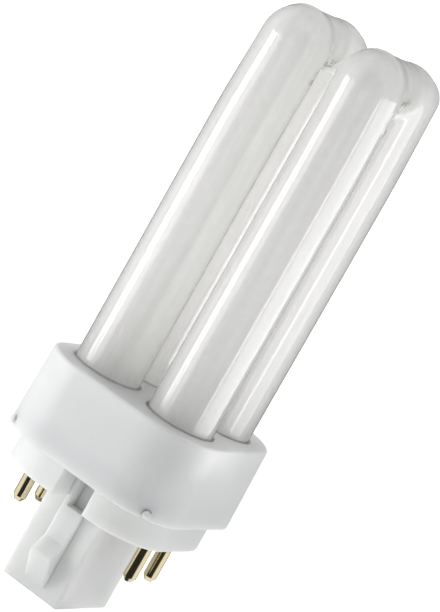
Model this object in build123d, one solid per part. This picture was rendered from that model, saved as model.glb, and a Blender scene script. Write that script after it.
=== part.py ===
from build123d import *
import os

# Double-U plug-in fluorescent lamp, upright, tubes up.
# Millimetres. Origin at the centre of the flat end of the key post, +Z towards the tube tops,
# -Y is the face of the cap that carries the off-centre key slot and the latch rib.

OVERALL_HEIGHT = 103.0
SEAT_HEIGHT = 16.9
STEP_HEIGHT = 5.4
HOUSING_HEIGHT = 14.3

HOUSING_WIDTH = 34.0
HOUSING_DEPTH = 34.8
HOUSING_CORNER = 9.9
HOUSING_DRAFT = 1.6
HOUSING_WALL = 1.5
HOUSING_SHOULDER = 0.8
TOP_PLATE = 1.6
RIM_ROUND = 0.5

STEP_INSET_X = 1.65
STEP_INSET_Y = 2.55
STEP_CORNER = 10.1
STEP_EDGE_ROUND = 0.4

PLUG_HEIGHT = 4.0
PLUG_CLEARANCE = 0.1
PLUG_PLATE = 1.5
BASE_FLOOR = 2.0
BASE_WALL = 1.6
WELL_DEPTH = 10.4
PLATE_OPENING_DEPTH = 13.2

POST_WIDTH = 11.8
POST_DEPTH = 16.9
POST_EDGE = 0.4
POST_WALL_X = 1.6
POST_WALL_Y = 3.4
POST_FLOOR = 2.0

KEY_SLOT_LEFT = -1.85
KEY_SLOT_RIGHT = 4.6
LATCH_POCKET_DEPTH = 1.7
LATCH_WALL = 0.8

RIB_WIDTH = 4.1
RIB_OFFSET = 0.2
RIB_TOP_DROP = 1.5
RIB_STEP_DROP = 7.4
RIB_RIDGE_DROP = 9.8
RIB_RIDGE_LENGTH = 0.7
RIB_END = 1.6
RIB_LOW_HEIGHT = 0.9
RIB_HIGH_HEIGHT = 2.9

SNAP_RADIUS = 0.65
SNAP_CLEARANCE = 0.1
SNAP_RISE = 0.9
SNAP_PROUD = 0.45

TUBE_DIAMETER = 11.5
TUBE_MARGIN_X = 3.55
TUBE_PITCH_Y = 13.2
TUBE_FOOT_DROP = 8.0
TUBE_HOLE_CLEARANCE = 0.4
BEND_WIDTH = 9.2
BEND_DEPTH = 8.8
BEND_TOP_DROP = 0.05
BRIDGE_DIAMETER = 5.2
BRIDGE_RISE = 6.0
PINCH_WIDTH = 7.0
PINCH_DEPTH = 2.2
PINCH_DROP = 2.2

PIN_DIAMETER = 2.3
PIN_SETBACK = 3.35
PIN_SPACING_Y = 7.0
PIN_LENGTH = 7.4
PIN_TIP_ROUND = 0.55
PIN_SHANK_DIAMETER = 2.6
PIN_SHANK_DROP = 0.2
PIN_NECK_DIAMETER = 1.8
PIN_COLLAR_DIAMETER = 3.2
PIN_COLLAR_HEIGHT = 0.8
PIN_NECK_HEIGHT = 1.7
PIN_BORE_DEPTH = 2.0

LEAD_DIAMETER = 0.5
LEAD_SPREAD = 3.4
LEAD_RUN = 1.4
LEAD_BEND_RADIUS = 1.0

CEMENT_HEIGHT = 4.5
CEMENT_CLEARANCE = 0.2

STEP_WIDTH = HOUSING_WIDTH - 2 * STEP_INSET_X
STEP_DEPTH = HOUSING_DEPTH - 2 * STEP_INSET_Y
TUBE_PITCH_X = HOUSING_WIDTH - 2 * TUBE_MARGIN_X - TUBE_DIAMETER
PIN_SPACING_X = STEP_WIDTH - 2 * PIN_SETBACK
SEAM_HEIGHT = SEAT_HEIGHT + STEP_HEIGHT
RIM_HEIGHT = SEAM_HEIGHT + HOUSING_HEIGHT
SHOULDER_HEIGHT = SEAM_HEIGHT + PLUG_HEIGHT
PLATE_UNDERSIDE = RIM_HEIGHT - TOP_PLATE
TUBE_RADIUS = TUBE_DIAMETER / 2
TUBE_FOOT_HEIGHT = RIM_HEIGHT - TUBE_FOOT_DROP
RIB_TOP = SEAT_HEIGHT - RIB_TOP_DROP
RIB_STEP_TOP = SEAT_HEIGHT - RIB_STEP_DROP
RIB_RIDGE_TOP = SEAT_HEIGHT - RIB_RIDGE_DROP
RIB_RIDGE_LOW = RIB_RIDGE_TOP - RIB_RIDGE_LENGTH
INNER_WIDTH = HOUSING_WIDTH - 2 * HOUSING_WALL
INNER_DEPTH = HOUSING_DEPTH - 2 * HOUSING_WALL
INNER_CORNER = HOUSING_CORNER - HOUSING_WALL
UPPER_WIDTH = INNER_WIDTH - 2 * HOUSING_SHOULDER
UPPER_DEPTH = INNER_DEPTH - 2 * HOUSING_SHOULDER
UPPER_CORNER = INNER_CORNER - HOUSING_SHOULDER
FLOOR_TOP = SEAT_HEIGHT + BASE_FLOOR
PIN_TOP = FLOOR_TOP + PIN_COLLAR_HEIGHT + PIN_NECK_HEIGHT

QUARTERS = [(-1, -1), (-1, 1), (1, -1), (1, 1)]
LEG_CENTRES = [(sx * TUBE_PITCH_X / 2, sy * TUBE_PITCH_Y / 2) for sx, sy in QUARTERS]
PIN_CENTRES = [(sx * PIN_SPACING_X / 2, sy * PIN_SPACING_Y / 2) for sx, sy in QUARTERS]


def rounded_block(width, depth, corner, low, high):
    """Prism with rounded vertical edges between two heights."""
    outline = Plane.XY.offset(low) * RectangleRounded(width, depth, corner)
    return extrude(outline, high - low)


def plain_block(left, right, front, back, low, high):
    """Rectangular block between pairs of limits."""
    middle = ((left + right) / 2, (front + back) / 2, (low + high) / 2)
    return Pos(*middle) * Box(right - left, back - front, high - low)


def upright_rod(x, y, radius, low, high):
    """Vertical round bar between two heights."""
    return Pos(x, y, (low + high) / 2) * Cylinder(radius, high - low)


def corner_rods(radius, inner_reach, outer_reach, height):
    """Four horizontal rods that cross the rounded corners of the housing."""
    rods = []
    reach = outer_reach - inner_reach
    for sx, sy in QUARTERS:
        centre_x = sx * (HOUSING_WIDTH / 2 - HOUSING_CORNER)
        centre_y = sy * (HOUSING_DEPTH / 2 - HOUSING_CORNER)
        outward = Vector(sx, sy, 0).normalized()
        middle = Vector(centre_x, centre_y, height) + outward * (inner_reach + reach / 2)
        rods.append(Plane(origin=middle, z_dir=outward) * Cylinder(radius, reach))
    return rods


def corner_notches():
    """Four snap notches in the housing's corners: round above and open at the lower edge."""
    radius = SNAP_RADIUS + SNAP_CLEARANCE
    inner_reach = HOUSING_CORNER - 3
    outer_reach = HOUSING_CORNER + 2
    notches = []
    for low in (0, SNAP_RISE):
        notches += corner_rods(radius, inner_reach, outer_reach, SEAM_HEIGHT + low)
    return notches


def make_housing():
    """Drafted shell with a closed top plate, four tube holes and four corner snap notches."""
    outline = RectangleRounded(HOUSING_WIDTH, HOUSING_DEPTH, HOUSING_CORNER)
    shell = extrude(Plane.XY.offset(SEAM_HEIGHT) * outline, HOUSING_HEIGHT, taper=HOUSING_DRAFT)
    shell = fillet(shell.edges().group_by(Axis.Z)[-1], RIM_ROUND)
    shell -= rounded_block(INNER_WIDTH, INNER_DEPTH, INNER_CORNER, SEAM_HEIGHT, SHOULDER_HEIGHT)
    shell -= rounded_block(UPPER_WIDTH, UPPER_DEPTH, UPPER_CORNER, SHOULDER_HEIGHT, PLATE_UNDERSIDE)
    hole_radius = TUBE_RADIUS + TUBE_HOLE_CLEARANCE
    for x, y in LEG_CENTRES:
        shell -= upright_rod(x, y, hole_radius, PLATE_UNDERSIDE - 1, RIM_HEIGHT + 1)
    for notch in corner_notches():
        shell -= notch
    return shell


def make_key_side():
    """Material added and taken away for the key slot and latch on the front of the cap."""
    face = -POST_DEPTH / 2
    slot = plain_block(KEY_SLOT_LEFT, KEY_SLOT_RIGHT, -HOUSING_DEPTH / 2, face, SEAT_HEIGHT, SEAM_HEIGHT)
    pocket_left = KEY_SLOT_LEFT + LATCH_WALL
    pocket_back = face + LATCH_POCKET_DEPTH
    pocket = plain_block(pocket_left, KEY_SLOT_RIGHT, face - 1, pocket_back, RIB_TOP, SEAM_HEIGHT)
    profile = [
        (face + 0.5, RIB_TOP),
        (face - RIB_LOW_HEIGHT, RIB_TOP),
        (face - RIB_LOW_HEIGHT, RIB_STEP_TOP),
        (face - RIB_HIGH_HEIGHT, RIB_RIDGE_TOP),
        (face - RIB_HIGH_HEIGHT, RIB_RIDGE_LOW),
        (face, RIB_END),
        (face + 0.5, RIB_END),
    ]
    section = Plane.YZ * make_face(Polyline(*profile, close=True))
    rib = Pos(RIB_OFFSET, 0, 0) * extrude(section, RIB_WIDTH / 2, both=True)
    rib_left = RIB_OFFSET - RIB_WIDTH / 2
    wall = plain_block(rib_left, rib_left + LATCH_WALL, face - RIB_LOW_HEIGHT, face + 0.5, RIB_TOP, SEAM_HEIGHT)
    return slot, pocket, rib, wall


def make_base_cap():
    """Step, plug and key post in one moulding, with latch details on the front and back."""
    step = rounded_block(STEP_WIDTH, STEP_DEPTH, STEP_CORNER, SEAT_HEIGHT, SEAM_HEIGHT)
    step = fillet(step.edges().group_by(Axis.Z)[0], STEP_EDGE_ROUND)
    plug = rounded_block(INNER_WIDTH - 2 * PLUG_CLEARANCE, INNER_DEPTH - 2 * PLUG_CLEARANCE,
                         INNER_CORNER - PLUG_CLEARANCE, SEAM_HEIGHT, SHOULDER_HEIGHT)
    post = plain_block(-POST_WIDTH / 2, POST_WIDTH / 2, -POST_DEPTH / 2, POST_DEPTH / 2, 0, SEAM_HEIGHT)
    post = chamfer(post.edges().filter_by(Axis.Z), POST_EDGE)
    post = chamfer(post.edges().group_by(Axis.Z)[0], POST_EDGE / 2)
    body = step + plug + post
    for turn in (0, 180):
        slot, pocket, rib, wall = make_key_side()
        body -= Rot(0, 0, turn) * slot
        body -= Rot(0, 0, turn) * pocket
        body += Rot(0, 0, turn) * rib
        body += Rot(0, 0, turn) * wall
    well_width = STEP_WIDTH - 2 * BASE_WALL
    body -= rounded_block(well_width, WELL_DEPTH, 1.0, FLOOR_TOP, SEAM_HEIGHT)
    body -= rounded_block(well_width, PLATE_OPENING_DEPTH, 1.0, SEAM_HEIGHT, SEAM_HEIGHT + PLUG_PLATE)
    body -= rounded_block(INNER_WIDTH - 2 * BASE_WALL, INNER_DEPTH - 2 * BASE_WALL,
                          INNER_CORNER - BASE_WALL, SEAM_HEIGHT + PLUG_PLATE, SHOULDER_HEIGHT)
    body -= plain_block(-POST_WIDTH / 2 + POST_WALL_X, POST_WIDTH / 2 - POST_WALL_X,
                        -POST_DEPTH / 2 + POST_WALL_Y, POST_DEPTH / 2 - POST_WALL_Y, POST_FLOOR, FLOOR_TOP)
    for x, y in PIN_CENTRES:
        body -= upright_rod(x, y, PIN_SHANK_DIAMETER / 2, SEAT_HEIGHT - 1, FLOOR_TOP + 1)
    tip = HOUSING_CORNER + SNAP_PROUD
    for rod in corner_rods(SNAP_RADIUS, INNER_CORNER - 1.0, tip, SEAM_HEIGHT + SNAP_RISE):
        body += rod
    return body


def make_leg(x, y):
    """One straight leg with a domed top."""
    dome_centre = OVERALL_HEIGHT - TUBE_RADIUS
    dome = Pos(x, y, dome_centre) * Sphere(TUBE_RADIUS)
    return upright_rod(x, y, TUBE_RADIUS, TUBE_FOOT_HEIGHT, dome_centre) + dome


def make_bent_pair(x):
    """One U tube along Y: two domed legs and a slightly narrower oval bend across their tops."""
    section = Plane.XZ * Ellipse(BEND_WIDTH / 2, BEND_DEPTH / 2)
    height = OVERALL_HEIGHT - BEND_TOP_DROP - BEND_DEPTH / 2
    bend = Pos(x, 0, height) * extrude(section, TUBE_PITCH_Y / 2, both=True)
    return make_leg(x, -TUBE_PITCH_Y / 2) + make_leg(x, TUBE_PITCH_Y / 2) + bend


def make_discharge_tube():
    """Two bent tubes joined by a short bridge near the foot, with a pinch seal on each front leg."""
    crossbar = Rot(0, 90, 0) * Cylinder(BRIDGE_DIAMETER / 2, TUBE_PITCH_X)
    tube = Pos(0, TUBE_PITCH_Y / 2, RIM_HEIGHT + BRIDGE_RISE) * crossbar
    seal = Box(PINCH_WIDTH, PINCH_DEPTH, PINCH_DROP)
    for x in (-TUBE_PITCH_X / 2, TUBE_PITCH_X / 2):
        pinch = Pos(x, -TUBE_PITCH_Y / 2, TUBE_FOOT_HEIGHT - PINCH_DROP / 2) * seal
        tube += make_bent_pair(x) + pinch
    return tube


def make_pin():
    """Turned contact pin on its own axis: tip, shank in the cap floor, collar and neck."""
    radius = PIN_DIAMETER / 2
    shank = PIN_SHANK_DIAMETER / 2
    collar = PIN_COLLAR_DIAMETER / 2
    neck = PIN_NECK_DIAMETER / 2
    low = SEAT_HEIGHT - PIN_LENGTH
    shoulder = SEAT_HEIGHT - PIN_SHANK_DROP
    profile = [
        (0, low),
        (radius - PIN_TIP_ROUND, low),
        (radius, low + PIN_TIP_ROUND * 1.5),
        (radius, shoulder),
        (shank, shoulder),
        (shank, FLOOR_TOP),
        (collar, FLOOR_TOP),
        (collar, FLOOR_TOP + PIN_COLLAR_HEIGHT),
        (neck, FLOOR_TOP + PIN_COLLAR_HEIGHT),
        (neck, PIN_TOP),
        (0, PIN_TOP),
    ]
    pin = revolve(Plane.XZ * make_face(Polyline(*profile, close=True)), Axis.Z)
    return pin - upright_rod(0, 0, LEAD_DIAMETER / 2, PIN_TOP - PIN_BORE_DEPTH, PIN_TOP + 1)


def make_lead(pin_x, pin_y):
    """Lead wire from the pinch at the foot of a front leg down into the bore of one pin."""
    side = 1 if pin_x > 0 else -1
    spread = LEAD_SPREAD / 2 if pin_y < 0 else -LEAD_SPREAD / 2
    foot_x = side * (TUBE_PITCH_X / 2 + spread)
    foot_y = -TUBE_PITCH_Y / 2
    foot_z = TUBE_FOOT_HEIGHT - PINCH_DROP
    low = PIN_TOP - PIN_BORE_DEPTH
    route = [
        (pin_x, pin_y, low),
        (pin_x, pin_y, PIN_TOP + LEAD_RUN),
        (foot_x, foot_y, foot_z - LEAD_RUN),
        (foot_x, foot_y, foot_z),
    ]
    path = FilletPolyline(*route, radius=LEAD_BEND_RADIUS)
    section = Plane(origin=(pin_x, pin_y, low), z_dir=(0, 0, 1)) * Circle(LEAD_DIAMETER / 2)
    return sweep(section, path=path)


def make_cement():
    """Cement bed that holds the four tube legs under the top plate."""
    low = PLATE_UNDERSIDE - CEMENT_HEIGHT
    bed = rounded_block(UPPER_WIDTH - 2 * CEMENT_CLEARANCE, UPPER_DEPTH - 2 * CEMENT_CLEARANCE,
                        UPPER_CORNER - CEMENT_CLEARANCE, low, PLATE_UNDERSIDE)
    for x, y in LEG_CENTRES:
        bed -= upright_rod(x, y, TUBE_RADIUS, low - 1, PLATE_UNDERSIDE + 1)
    return bed


os.makedirs("parts", exist_ok=True)
export_step(make_housing(), "parts/housing.step")
export_step(make_base_cap(), "parts/base_cap.step")
export_step(make_discharge_tube(), "parts/discharge_tube.step")
export_step(make_cement(), "parts/cement_bed.step")
pin = make_pin()
for number, (x, y) in enumerate(PIN_CENTRES, start=1):
    export_step(Pos(x, y, 0) * pin, f"parts/contact_pin_{number}.step")
    export_step(make_lead(x, y), f"parts/lead_wire_{number}.step")
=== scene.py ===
import math

import bpy
import numpy as np
from mathutils import Matrix, Vector


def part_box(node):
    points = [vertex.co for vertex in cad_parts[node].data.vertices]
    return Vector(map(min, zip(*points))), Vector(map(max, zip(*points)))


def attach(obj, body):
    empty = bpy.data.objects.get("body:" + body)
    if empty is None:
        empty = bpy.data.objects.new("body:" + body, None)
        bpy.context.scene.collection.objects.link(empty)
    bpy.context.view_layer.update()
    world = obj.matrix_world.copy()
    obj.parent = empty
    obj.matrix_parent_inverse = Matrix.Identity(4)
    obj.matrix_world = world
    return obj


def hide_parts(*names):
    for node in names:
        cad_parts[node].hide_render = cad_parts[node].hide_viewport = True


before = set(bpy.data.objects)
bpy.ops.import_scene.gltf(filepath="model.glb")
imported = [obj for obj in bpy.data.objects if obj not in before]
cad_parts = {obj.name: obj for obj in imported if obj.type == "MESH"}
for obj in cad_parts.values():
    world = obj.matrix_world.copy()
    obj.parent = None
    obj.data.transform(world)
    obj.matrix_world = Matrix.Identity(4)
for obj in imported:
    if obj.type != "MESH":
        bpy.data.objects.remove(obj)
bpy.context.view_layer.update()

# Height of the housing's rim, metres.
RIM_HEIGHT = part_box("housing")[1][2]

# Camera: azimuth and elevation round the lamp, roll that lays the lamp over to the right of the
# picture, distance in metres, where the lamp's rim centre lies in the camera's own plane, and the
# focal length in pixels of a picture with this height.
CAMERA_AZIMUTH = math.radians(24.58)
CAMERA_ELEVATION = math.radians(10.14)
CAMERA_ROLL = math.radians(29.59)
CAMERA_DISTANCE = 0.5074
RIM_RIGHT = -0.00916
RIM_UP = -0.01462
FOCAL_PIXELS = 3165.0
PICTURE_HEIGHT = 612
SENSOR = 36.0

# Light levels from straight behind the lamp (0) round to the camera's side (1): the even light, and
# what a mirror shows.
LIGHT_LEVELS = [(0.0, 1.27), (0.25, 1.13), (0.5, 0.66), (0.8, 0.23), (1.0, 0.02)]
MIRROR_LEVELS = [(0.0, 0.26), (0.22, 0.32), (0.36, 1.1), (0.78, 1.1), (0.86, 0.04), (1.0, 0.03)]

# Soft boxes beside the lamp, metres, where a box has none of its own.
BOX_DISTANCE = 0.17
BOX_LOW = 0.003
BOX_HEIGHT = 0.094

# Floor: metres along a side, and its own light as matte surfaces and as the camera see it.
FLOOR_SIZE = 12.0
FLOOR_LIGHT = 0.4
FLOOR_GLOW = 0.6

# Blown double-U tube, millimetres. The two U tubes lean together and get thinner over the top
# length, their bends fall towards the back as far as the share of the pitch says, and the front and
# back domes differ in height.
TUBE_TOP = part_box("discharge_tube")[1][2] * 1000
TUBE_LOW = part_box("discharge_tube")[0][2] * 1000
RIM = RIM_HEIGHT * 1000
TUBE_RADIUS = 5.75
PITCH_X = 15.4
PITCH_Y = 13.2
PINCH_SIZE = (7.0, 2.2, 2.2)
PINCH_CORNER = 0.5
BEND_WIDTH = 9.2
BEND_DEPTH = 8.8
BRIDGE_RADIUS = 2.6
BRIDGE_RISE = 6.0
TOP_LENGTH = 22.0
TOP_LEAN = (0.5, 0.3)
TOP_THINNING = 0.1
TOP_FALL = 0.4
FALL_SHARE = 1.4
DOME_HEIGHTS = (6.0, 4.3)

# Blends in the tube: leg to bend, the legs' flat feet, pinch to leg, and the two U tubes to the
# bridge.
LEG_BLEND = 1.0
FOOT_BLEND = 1.5
PINCH_BLEND = 0.8
BRIDGE_BLEND = 1.0

# Grid for the tube's mesh, millimetres: its half width and depth, heights from the tube's lowest
# point, from the rim and from the tube's top, and the cells' height in each stretch. Cells are
# small where the tube curves and tall down the straight legs.
GRID_HALF = (14.0, 13.2)
FOOT_SPAN = (-0.6, 3.4)
BRIDGE_SPAN = (1.0, 11.4)
STRAIGHT_END = -16.0
BEND_SPAN = (-14.0, 1.0)
CELL = 0.4
BRIDGE_CELL = 0.45
HIDDEN_CELL = 1.5
STRAIGHT_CELL = 3.0

# Curled glass in the crooks of the bends: place in millimetres and strength. The far side repeats
# the near one by a half turn, fainter. Each mark fades between the two distances from its place.
NEAR_KNOTS = [
    (-2.7, -0.6, 95.1, 1.0),
    (-1.8, -4.4, 93.4, 0.8),
    (12.0, -1.6, 95.7, 1.0),
    (12.9, -4.4, 93.8, 0.8),
]
FAR_SHARE = 0.35
KNOTS = NEAR_KNOTS + [(-x, -y, z, strength * FAR_SHARE) for x, y, z, strength in NEAR_KNOTS]
KNOT_FULL = 1.3
KNOT_END = 3.1

# Shading of the tube: heights in metres between which the painted shade at the rims, where the wall
# is seen edge-on, fades towards the bends, and what is left of it there; heights above the
# housing's rim between which the painted shadow at the feet ends, and its level; the colour of the
# curled glass; the wall's share of light passed through.
RIM_SHADE_FADE = (0.086, 0.095)
RIM_SHADE_AT_BENDS = 0.15
FOOT_SHADOW_FADE = (0.00012, 0.0003)
FOOT_SHADOW_LEVEL = 0.7
CURL_COLOUR = (0.46, 0.46, 0.38, 1)
WALL_THROUGH = 0.63

WHITE = (1, 1, 1, 1)


def node_adder(tree):
    """Empties a node tree and returns the function that adds nodes to it.

    Values in order go into the node's first inputs, in_NAME goes into the input of that name, and
    the others are settings. A node or an output among the values is linked.
    """
    tree.nodes.clear()

    def add(kind, *ordered, **named):
        node = tree.nodes.new(kind)
        values = dict(enumerate(ordered))
        for key, value in named.items():
            if key.startswith("in_"):
                values[key[3:].replace("_", " ")] = value
            else:
                setattr(node, key, value)
        for key, value in values.items():
            if isinstance(value, bpy.types.Node):
                value = value.outputs[0]
            if isinstance(value, bpy.types.NodeSocket):
                tree.links.new(value, node.inputs[key])
            else:
                node.inputs[key].default_value = value
        return node

    return add


def new_material(name):
    """A new material with no nodes yet, and the function that adds them."""
    material = bpy.data.materials.new(name)
    material.use_nodes = True
    return material, node_adder(material.node_tree)


def make_camera():
    """Camera at the photograph's viewing angle."""
    a, e, t = CAMERA_AZIMUTH, CAMERA_ELEVATION, CAMERA_ROLL
    right = Vector((math.cos(a), math.sin(a), 0))
    up = Vector((-math.sin(a) * math.sin(e), math.cos(a) * math.sin(e), math.cos(e)))
    back = right.cross(up)
    image_right = right * math.cos(t) + up * math.sin(t)
    image_up = up * math.cos(t) - right * math.sin(t)
    rim = Vector((0, 0, RIM_HEIGHT))
    place = rim - image_right * RIM_RIGHT - image_up * RIM_UP + back * CAMERA_DISTANCE
    data = bpy.data.cameras.new("camera")
    data.sensor_width = SENSOR
    data.lens = FOCAL_PIXELS * SENSOR / PICTURE_HEIGHT
    data.clip_start = 0.01
    camera = bpy.data.objects.new("camera", data)
    rotation = Matrix((image_right, image_up, back)).transposed()
    camera.matrix_world = Matrix.Translation(place) @ rotation.to_4x4()
    bpy.context.collection.objects.link(camera)
    bpy.context.scene.camera = camera


def soft_box(name, azimuth, width, power, distance=BOX_DISTANCE, low=BOX_LOW, height=BOX_HEIGHT,
             diffuse=True, glossy=True):
    """Upright soft box beside the lamp, facing its axis; azimuth in degrees from the front."""
    data = bpy.data.lights.new(name, "AREA")
    data.shape = "RECTANGLE"
    data.size = width
    data.size_y = height
    data.energy = power
    light = bpy.data.objects.new(name, data)
    a = math.radians(azimuth)
    out = Vector((math.sin(a), -math.cos(a), 0))
    middle = out * distance + Vector((0, 0, low + height / 2))
    turn = out.to_track_quat("Z", "Y").to_matrix()
    light.matrix_world = Matrix.Translation(middle) @ turn.to_4x4()
    light.visible_camera = False
    light.visible_diffuse = diffuse
    light.visible_glossy = glossy
    bpy.context.collection.objects.link(light)


def make_lights():
    """Soft boxes on both sides; three of them, one close to the tubes, give highlights only."""
    soft_box("key_left", -54, width=0.034, power=0.059)
    soft_box("key_front", -42, width=0.024, power=0.042)
    soft_box("key_soft", -26, width=0.05, power=0.03, diffuse=False)
    soft_box("fill_right", 72, width=0.15, power=0.02, low=0.004, height=0.091, glossy=False)
    soft_box("streak_right", 76, width=0.022, power=0.024, height=0.091, diffuse=False)
    soft_box("sheen_card", 89, width=0.02, power=0.0115, distance=0.0228, low=0.03, height=0.067,
             diffuse=False)


def grey_stops(levels):
    """Ramp stops in grey from pairs (position, level)."""
    return [(position, (level, level, level)) for position, level in levels]


def add_ramp(add, source, stops, interpolation="LINEAR"):
    """Colour ramp with the stops (position, colour), in rising order."""
    node = add("ShaderNodeValToRGB", source)
    ramp = node.color_ramp
    ramp.interpolation = interpolation
    for position, _ in stops[1:-1]:
        ramp.elements.new(position)
    for element, (position, colour) in zip(ramp.elements, stops):
        element.position = position
        element.color = (*colour, 1)
    return node


def side_level(add, way, levels):
    """Level that follows the direction, from straight behind the lamp to the camera's side."""
    to_camera = (math.sin(CAMERA_AZIMUTH), -math.cos(CAMERA_AZIMUTH), 0)
    towards = add("ShaderNodeVectorMath", way, to_camera, operation="DOT_PRODUCT")
    share = add("ShaderNodeMapRange", towards.outputs["Value"], in_From_Min=-1.0)
    return add_ramp(add, share, grey_stops(levels), "EASE")


def make_world():
    """Even light from a white backdrop, a dim room on the camera's side, and a white background."""
    world = bpy.data.worlds.new("studio")
    bpy.context.scene.world = world
    world.use_nodes = True
    add = node_adder(world.node_tree)
    way = add("ShaderNodeTexCoord").outputs["Generated"]
    ray = add("ShaderNodeLightPath").outputs
    light = add("ShaderNodeBackground", side_level(add, way, LIGHT_LEVELS))
    mirror = add("ShaderNodeBackground", side_level(add, way, MIRROR_LEVELS))
    white = add("ShaderNodeBackground", WHITE)
    around = add("ShaderNodeMixShader", ray["Is Glossy Ray"], light, mirror)
    seen = add("ShaderNodeMixShader", ray["Is Camera Ray"], around, white)
    add("ShaderNodeOutputWorld", seen)


def make_floor():
    """Plain pale floor that keeps the lamp's soft shadow and is white where it is lit."""
    half = FLOOR_SIZE / 2
    corners = [(-half, -half, 0), (half, -half, 0), (half, half, 0), (-half, half, 0)]
    mesh = bpy.data.meshes.new("floor")
    mesh.from_pydata(corners, [], [(0, 1, 2, 3)])
    floor = bpy.data.objects.new("floor", mesh)
    bpy.context.collection.objects.link(floor)
    material, add = new_material("floor_pale")
    place = add("ShaderNodeTexCoord").outputs["Object"]
    ray = add("ShaderNodeLightPath").outputs
    way = add("ShaderNodeVectorMath", place, operation="NORMALIZE")
    mirror = add("ShaderNodeEmission", side_level(add, way, MIRROR_LEVELS))
    faint = add("ShaderNodeEmission", WHITE, FLOOR_LIGHT)
    glow = add("ShaderNodeEmission", WHITE, FLOOR_GLOW)
    own = add("ShaderNodeMixShader", ray["Is Camera Ray"], faint, glow)
    matte = add("ShaderNodeBsdfDiffuse", (0.9, 0.9, 0.9, 1))
    lit = add("ShaderNodeAddShader", matte, own)
    add("ShaderNodeOutputMaterial", add("ShaderNodeMixShader", ray["Is Glossy Ray"], lit, mirror))
    mesh.materials.append(material)


def union(a, b, blend):
    """Smooth union of two signed distances."""
    near = np.maximum(blend - np.abs(a - b), 0) / blend
    return np.minimum(a, b) - near * near * blend / 4


def common(a, b, blend):
    """Smooth intersection of two signed distances."""
    return -union(-a, -b, blend)


def box_distance(x, y, z, size, corner):
    """Signed distance to a rounded box round the origin."""
    gaps = [np.abs(v) - s / 2 + corner for v, s in zip((x, y, z), size)]
    outside = np.sqrt(sum(np.maximum(g, 0) ** 2 for g in gaps))
    return outside + np.minimum(np.maximum(np.maximum(gaps[0], gaps[1]), gaps[2]), 0) - corner


def tube_field(x, y, z):
    """Signed distance to the double-U tube, negative inside."""
    foot = TUBE_LOW + PINCH_SIZE[2]
    bridge = np.hypot(y - PITCH_Y / 2, z - RIM - BRIDGE_RISE) - BRIDGE_RADIUS
    body = np.maximum(bridge, np.abs(x) - PITCH_X / 2)
    rise = np.clip((z - TUBE_TOP) / TOP_LENGTH + 1, 0, 1)
    rise = rise * rise * (3 - 2 * rise)
    height = z + TOP_FALL * np.clip(y / PITCH_Y + 0.5, 0, FALL_SHARE)
    for side, lean in zip((-1, 1), TOP_LEAN):
        u = x - side * (PITCH_X / 2 - lean * rise)
        drop = height - TUBE_TOP + BEND_DEPTH / 2
        bend = np.hypot(u * BEND_DEPTH / BEND_WIDTH, drop) - BEND_DEPTH / 2
        pair = np.maximum(bend, np.abs(y) - PITCH_Y / 2)
        for turn, dome_height in zip((-1, 1), DOME_HEIGHTS):
            dome = np.maximum(height - TUBE_TOP + dome_height, 0) * TUBE_RADIUS / dome_height
            leg = np.sqrt(u ** 2 + (y - turn * PITCH_Y / 2) ** 2 + dome ** 2) - TUBE_RADIUS
            pair = union(pair, leg + TOP_THINNING * rise, LEG_BLEND)
        pair = common(pair, foot - z, FOOT_BLEND)
        pinch = (*PINCH_SIZE[:2], 2 * PINCH_SIZE[2])
        seal = box_distance(u, y + PITCH_Y / 2, z - foot, pinch, PINCH_CORNER)
        body = union(body, union(pair, seal, PINCH_BLEND), BRIDGE_BLEND)
    return body


def slide_to_surface(points, field):
    """Moves points along the field's slope until they lie on its zero surface."""
    step = 0.01
    farthest = 0.4
    least_slope = 0.05
    for _ in range(4):
        value = field(*points.T)
        slope = np.empty_like(points)
        for axis in range(3):
            shift = np.zeros(3)
            shift[axis] = step
            slope[:, axis] = (field(*(points + shift).T) - field(*(points - shift).T)) / (2 * step)
        size = np.maximum((slope ** 2).sum(axis=1), least_slope)
        points = points - slope * (np.clip(value, -farthest, farthest) / size)[:, None]
    return points


def surface_net(field, xs, ys, zs):
    """Quads over the field's zero surface, one vertex in each grid cell that it crosses."""
    grid = np.stack(np.meshgrid(xs, ys, zs, indexing="ij"), axis=-1)
    value = field(grid[..., 0], grid[..., 1], grid[..., 2])
    cells = tuple(n - 1 for n in value.shape)
    total = np.zeros((*cells, 3))
    count = np.zeros(cells)
    edges = []
    for axis in range(3):
        low = [slice(None)] * 3
        high = [slice(None)] * 3
        low[axis] = slice(0, -1)
        high[axis] = slice(1, None)
        low, high = tuple(low), tuple(high)
        crossed = (value[low] < 0) != (value[high] < 0)
        share = np.where(crossed, value[low] / np.where(crossed, value[low] - value[high], 1), 0)
        point = grid[low] + share[..., None] * (grid[high] - grid[low])
        b, c = (axis + 1) % 3, (axis + 2) % 3
        edges.append((b, c, crossed, value[low] < 0))
        for db in (0, 1):
            for dc in (0, 1):
                part = [slice(None)] * 3
                part[b] = slice(db, db + cells[b])
                part[c] = slice(dc, dc + cells[c])
                part = tuple(part)
                total += point[part] * crossed[part][..., None]
                count += crossed[part]
    active = count > 0
    number = np.full(cells, -1)
    number[active] = np.arange(active.sum())
    quads = []
    for b, c, crossed, inside_low in edges:
        spots = np.argwhere(crossed)
        along_b, along_c = spots[:, b], spots[:, c]
        inner = (along_b > 0) & (along_b < cells[b]) & (along_c > 0) & (along_c < cells[c])
        spots = spots[inner]
        corners = []
        for db, dc in ((1, 1), (0, 1), (0, 0), (1, 0)):
            spot = spots.copy()
            spot[:, b] -= db
            spot[:, c] -= dc
            corners.append(number[tuple(spot.T)])
        quad = np.stack(corners, axis=1)
        outward = inside_low[tuple(spots.T)]
        quads.append(np.where(outward[:, None], quad, quad[:, ::-1]))
    points = total[active] / count[active][:, None]
    return slide_to_surface(points, field), np.vstack(quads)


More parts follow.
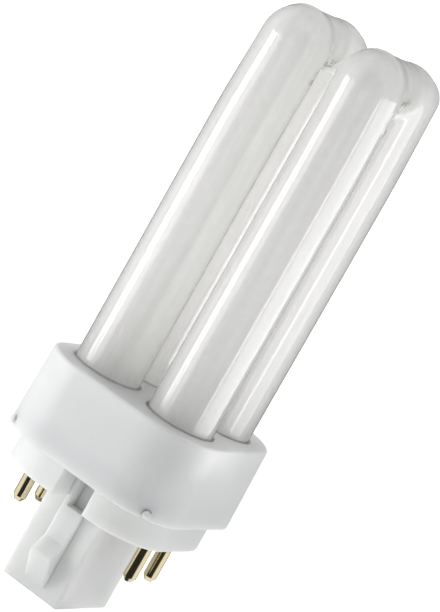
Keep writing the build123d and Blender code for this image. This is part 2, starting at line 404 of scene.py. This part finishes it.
def make_glass(material):
    """The blown tube as one smooth piece in place of the plain one."""
    sides, depths = (np.arange(-half, half + 0.01, CELL) for half in GRID_HALF)
    foot = np.arange(TUBE_LOW + FOOT_SPAN[0], TUBE_LOW + FOOT_SPAN[1], CELL)
    hidden = np.arange(foot[-1] + HIDDEN_CELL, RIM, HIDDEN_CELL)
    bridge = np.arange(RIM + BRIDGE_SPAN[0], RIM + BRIDGE_SPAN[1], BRIDGE_CELL)
    straight = np.arange(bridge[-1] + STRAIGHT_CELL, TUBE_TOP + STRAIGHT_END, STRAIGHT_CELL)
    bend = np.arange(TUBE_TOP + BEND_SPAN[0], TUBE_TOP + BEND_SPAN[1], CELL)
    heights = np.concatenate((foot, hidden, bridge, straight, bend))
    points, quads = surface_net(tube_field, sides, depths, heights)
    mesh = bpy.data.meshes.new("tube")
    mesh.from_pydata((points / 1000).tolist(), [], quads.tolist())
    mesh.polygons.foreach_set("use_smooth", [True] * len(mesh.polygons))
    mesh.materials.append(material)
    glass = bpy.data.objects.new("glass_tube", mesh)
    bpy.context.collection.objects.link(glass)
    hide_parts("discharge_tube")
    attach(glass, "root")


def multiply(add, share, first, second):
    """First colour times the second, as far as the share says."""
    return add("ShaderNodeMixRGB", share, first, second, blend_type="MULTIPLY")


def plastic(name, colour, grain):
    """Satin moulded plastic: faint tone changes, fine grain, uneven gloss, and painted shade that
    darkens its creases, seams and recesses.
    """
    material, add = new_material(name)
    place = add("ShaderNodeTexCoord").outputs["Object"]
    tone = add("ShaderNodeTexNoise", place, in_Scale=90.0, in_Detail=3.0)
    faint = add_ramp(add, tone, [(0.3, (0.97, 0.97, 0.965)), (0.7, (1, 1, 1))])
    # Painted shade: ambient occlusion darkens the colour in creases, seams and recesses.
    gaps = add("ShaderNodeAmbientOcclusion", samples=6, in_Distance=0.0007).outputs["AO"]
    painted_crevice_shade = add("ShaderNodeMapRange", gaps, in_From_Min=0.1, in_From_Max=0.75, in_To_Min=0.75)
    fine = add("ShaderNodeTexNoise", place, in_Scale=grain, in_Detail=2.0)
    edges = add("ShaderNodeBevel", samples=6, in_Radius=0.0003)
    bump = add(
        "ShaderNodeBump", in_Height=fine, in_Strength=0.06, in_Distance=0.0001, in_Normal=edges
    )
    shader = add(
        "ShaderNodeBsdfPrincipled",
        multiply(add, 1.0, multiply(add, 1.0, (*colour, 1), faint), painted_crevice_shade),
        in_Roughness=add("ShaderNodeMapRange", tone, in_To_Min=0.34, in_To_Max=0.44),
        in_Normal=bump,
        in_Subsurface_Weight=0.8,
        in_Subsurface_Radius=(1.0, 1.0, 0.9),
        in_Subsurface_Scale=0.0035,
    )
    add("ShaderNodeOutputMaterial", shader)
    return material


def knot_mask(add, place):
    """Each knot's strength at the curled glass in the crook of a bend, fading to 0 round it."""
    total = 0.0
    for *knot, strength in KNOTS:
        centre = [v / 1000 for v in knot]
        away = add("ShaderNodeVectorMath", place, centre, operation="DISTANCE").outputs["Value"]
        fade = add(
            "ShaderNodeMapRange",
            away,
            interpolation_type="SMOOTHSTEP",
            in_From_Min=KNOT_END / 1000,
            in_From_Max=KNOT_FULL / 1000,
            in_To_Max=strength,
        )
        total = add("ShaderNodeMath", total, fade, operation="ADD")
    return total


def coating_colour(add, place, outside, curl):
    """White powder with runs along the tube and marks where it curls, with painted shade at the
    rims and a painted shadow at the feet.
    """
    powder = add("ShaderNodeTexNoise", place, in_Scale=700.0, in_Detail=5.0, in_Roughness=0.7)
    speckle = add_ramp(add, powder, [(0.3, (0.945, 0.943, 0.937)), (0.7, (0.985, 0.983, 0.978))])
    along = add("ShaderNodeMapping", place, in_Scale=(1, 1, 0.03))
    runs = add("ShaderNodeTexNoise", along, in_Scale=420.0, in_Detail=3.0, in_Roughness=0.6)
    streaks = add_ramp(add, runs, [(0.35, (0.92, 0.92, 0.914)), (0.65, (1, 1, 1))])
    streaked = multiply(add, 1.0, speckle, streaks)
    marked = add("ShaderNodeMixRGB", curl, streaked, CURL_COLOUR, blend_type="MIX")
    # Painted shade: the colour darkens towards the rims, where the wall is seen edge-on, and fades
    # out towards the bends.
    facing = add("ShaderNodeLayerWeight", in_Blend=0.5).outputs["Facing"]
    edge = add("ShaderNodeMath", facing, outside, operation="MULTIPLY")
    levels = [(0.0, 1.0), (0.35, 1.0), (0.7, 0.9), (0.82, 0.66), (1.0, 0.5)]
    rim = add_ramp(add, edge, grey_stops(levels))
    height = add("ShaderNodeSeparateXYZ", place).outputs["Z"]
    rim_shade_share = add(
        "ShaderNodeMapRange",
        height,
        in_From_Min=RIM_SHADE_FADE[0],
        in_From_Max=RIM_SHADE_FADE[1],
        in_To_Min=1.0,
        in_To_Max=RIM_SHADE_AT_BENDS,
    )
    # Painted shadow: the colour darkens just above the housing's rim, where the tube's foot goes
    # into the housing.
    painted_foot_shadow = add(
        "ShaderNodeMapRange",
        height,
        in_From_Min=RIM_HEIGHT + FOOT_SHADOW_FADE[0],
        in_From_Max=RIM_HEIGHT + FOOT_SHADOW_FADE[1],
        in_To_Min=FOOT_SHADOW_LEVEL,
        in_To_Max=1.0,
    )
    return multiply(add, 1.0, multiply(add, rim_shade_share, marked, rim), painted_foot_shadow)


def coated_glass():
    """Phosphor on thin glass: light passes through the wall and lies even over it, under gloss."""
    material, add = new_material("phosphor_glass")
    place = add("ShaderNodeTexCoord").outputs["Object"]
    inside = add("ShaderNodeNewGeometry").outputs["Backfacing"]
    outside = add("ShaderNodeMath", 1.0, inside, operation="SUBTRACT")
    curls = add(
        "ShaderNodeTexWave",
        place,
        in_Scale=300.0,
        in_Distortion=9.0,
        in_Detail=2.0,
        in_Detail_Scale=1.2,
    )
    mask = knot_mask(add, place)
    curl = add("ShaderNodeMath", curls.outputs["Fac"], mask, operation="MULTIPLY")
    stretch = add("ShaderNodeMapping", place, in_Scale=(1, 1, 0.12))
    ripple = add("ShaderNodeTexNoise", stretch, in_Scale=220.0, in_Detail=1.0)
    bump = add("ShaderNodeBump", in_Height=ripple, in_Strength=0.05, in_Distance=0.0003)
    crease = add(
        "ShaderNodeBump", in_Height=curl, in_Strength=0.8, in_Distance=0.0005, in_Normal=bump
    )
    colour = coating_colour(add, place, outside, curl)
    matte = add("ShaderNodeBsdfDiffuse", colour, in_Normal=crease)
    through = add("ShaderNodeBsdfTranslucent", colour)
    wall = add("ShaderNodeMixShader", WALL_THROUGH, matte, through)
    shine = add("ShaderNodeBsdfGlossy", WHITE, in_Roughness=0.095, in_Normal=crease)
    fresnel = add("ShaderNodeFresnel", in_IOR=1.6, in_Normal=crease)
    gloss = add("ShaderNodeMath", fresnel, outside, operation="MULTIPLY")
    add("ShaderNodeOutputMaterial", add("ShaderNodeMixShader", gloss, wall, shine))
    return material


def brass(name):
    """Bright turned brass with fine rings round the pin."""
    material, add = new_material(name)
    place = add("ShaderNodeTexCoord").outputs["Object"]
    stretch = add("ShaderNodeMapping", place, in_Scale=(0.05, 0.05, 1))
    rings = add("ShaderNodeTexNoise", stretch, in_Scale=6000.0, in_Detail=2.0)
    bump = add("ShaderNodeBump", in_Height=rings, in_Strength=0.08, in_Distance=0.00002)
    tone = add("ShaderNodeTexNoise", place, in_Scale=900.0, in_Detail=3.0)
    colour = add_ramp(add, tone, [(0.0, (0.64, 0.55, 0.34)), (1.0, (0.77, 0.68, 0.46))])
    shader = add(
        "ShaderNodeBsdfPrincipled", colour, in_Metallic=1.0, in_Roughness=0.1, in_Normal=bump
    )
    add("ShaderNodeOutputMaterial", shader)
    return material


def dress(node, material):
    """Gives a CAD node one material on all its slots."""
    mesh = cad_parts[node].data
    mesh.materials.clear()
    mesh.materials.append(material)


def dress_nodes():
    """Finishes of the CAD nodes that stay as they are."""
    dress("housing", plastic("housing_satin", (0.80, 0.812, 0.808), 2600.0))
    dress("base_cap", plastic("cap_satin", (0.805, 0.815, 0.812), 2600.0))
    dress("cement_bed", plastic("cement_dry", (0.82, 0.82, 0.75), 900.0))
    pins = brass("pin_bright")
    leads = brass("lead_drawn")
    for number in range(1, 5):
        dress(f"contact_pin_{number}", pins)
        dress(f"lead_wire_{number}", leads)


make_camera()
make_world()
make_floor()
make_lights()
dress_nodes()
make_glass(coated_glass())
bpy.context.scene.view_settings.view_transform = "Standard"
